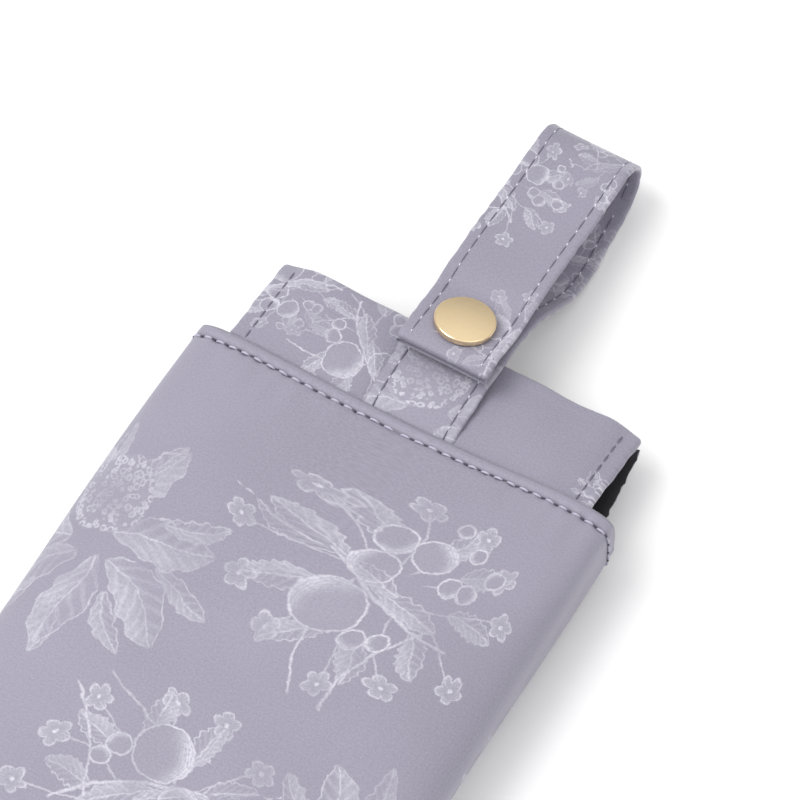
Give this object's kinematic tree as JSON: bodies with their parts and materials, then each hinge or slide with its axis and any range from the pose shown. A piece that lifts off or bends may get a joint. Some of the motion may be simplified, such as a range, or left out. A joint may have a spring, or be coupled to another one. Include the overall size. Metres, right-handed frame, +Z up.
{
  "type": "folding umbrella",
  "caption": "Flat folding umbrella in a printed fabric slip case with a spring mouth and a hanging strap closed by a snap.",
  "frame": {"origin": "middle of the object's outline, on the surface that the case lies on", "axes": "+X across the case, +Y along it towards the mouth and hanging strap, +Z up out of the printed front panel"},
  "size_m": [0.095, 0.3503, 0.028],
  "materials": {
    "printed_satin": "grey-lavender satin weave with a pale engraved flower print",
    "lining_cloth": "near black woven lining",
    "spring_steel": "bright spring strip",
    "gold_brass": "polished pale gold",
    "black_plastic": "satin black",
    "shaft_metal": "anodised",
    "rib_metal": "plated",
    "canopy_cloth": "grey-lavender satin weave"
  },
  "bodies": {
    "case": {"back_band": "printed_satin", "back_band_lining": "lining_cloth", "back_lining": "lining_cloth", "back_panel": "printed_satin", "back_spring_strip": "spring_steel", "end_binding": "printed_satin", "front_lining_lower": "lining_cloth", "front_panel_lower": "printed_satin"},
    "umbrella": {"canopy": "canopy_cloth", "closure_band": "canopy_cloth", "closure_tab": "canopy_cloth", "crown": "black_plastic", "handle_end_cap": "black_plastic", "handle_grip": "black_plastic", "inner_rib_1": "rib_metal", "inner_rib_2": "rib_metal", "inner_rib_3": "rib_metal", "inner_rib_4": "rib_metal", "inner_rib_5": "rib_metal", "inner_rib_6": "rib_metal", "outer_rib_1": "rib_metal", "outer_rib_2": "rib_metal", "outer_rib_3": "rib_metal", "outer_rib_4": "rib_metal", "outer_rib_5": "rib_metal", "outer_rib_6": "rib_metal", "rib_rivets": "rib_metal", "rib_tips": "black_plastic", "runner": "black_plastic", "shaft_collar": "black_plastic", "shaft_inner_tube": "shaft_metal", "shaft_middle_tube": "shaft_metal", "shaft_outer_tube": "shaft_metal", "stretcher_1": "rib_metal", "stretcher_2": "rib_metal", "stretcher_3": "rib_metal", "stretcher_4": "rib_metal", "stretcher_5": "rib_metal", "stretcher_6": "rib_metal", "top_ferrule": "black_plastic"},
    "mouth_front": {"front_band": "printed_satin", "front_band_lining": "lining_cloth", "front_lining_upper": "lining_cloth", "front_panel_upper": "printed_satin", "front_spring_strip": "spring_steel"},
    "strap_flap_end": {"snap_cap": "gold_brass", "snap_socket": "gold_brass", "strap_flap": "printed_satin"},
    "strap_loop": {"snap_post": "gold_brass", "snap_stud": "gold_brass", "strap_base": "printed_satin"}
  },
  "joints": [
    {"name": "umbrella_draw", "type": "slide", "parent": "case", "child": "umbrella", "axis": [0, 0.9998, 0.0175], "range_m": [0, 0.12]},
    {"name": "mouth_open", "type": "hinge", "parent": "case", "child": "mouth_front", "pos_m": [0, 0.0375, 0.028], "axis": [1, 0, 0], "range_deg": [0, 21.7]},
    {"name": "strap_swing", "type": "hinge", "parent": "mouth_front", "child": "strap_loop", "pos_m": [0, 0.0978, 0.0183], "axis": [1, 0, 0], "range_deg": [0, 90]},
    {"name": "strap_unsnap", "type": "hinge", "parent": "strap_loop", "child": "strap_flap_end", "pos_m": [0, 0.17515, 0.00845], "axis": [-1, 0, 0], "range_deg": [0, 150]}
  ],
  "couplings": [
    {"joint": "mouth_open", "follows": "umbrella_draw", "rad_per_m": 3.1416}
  ]
}
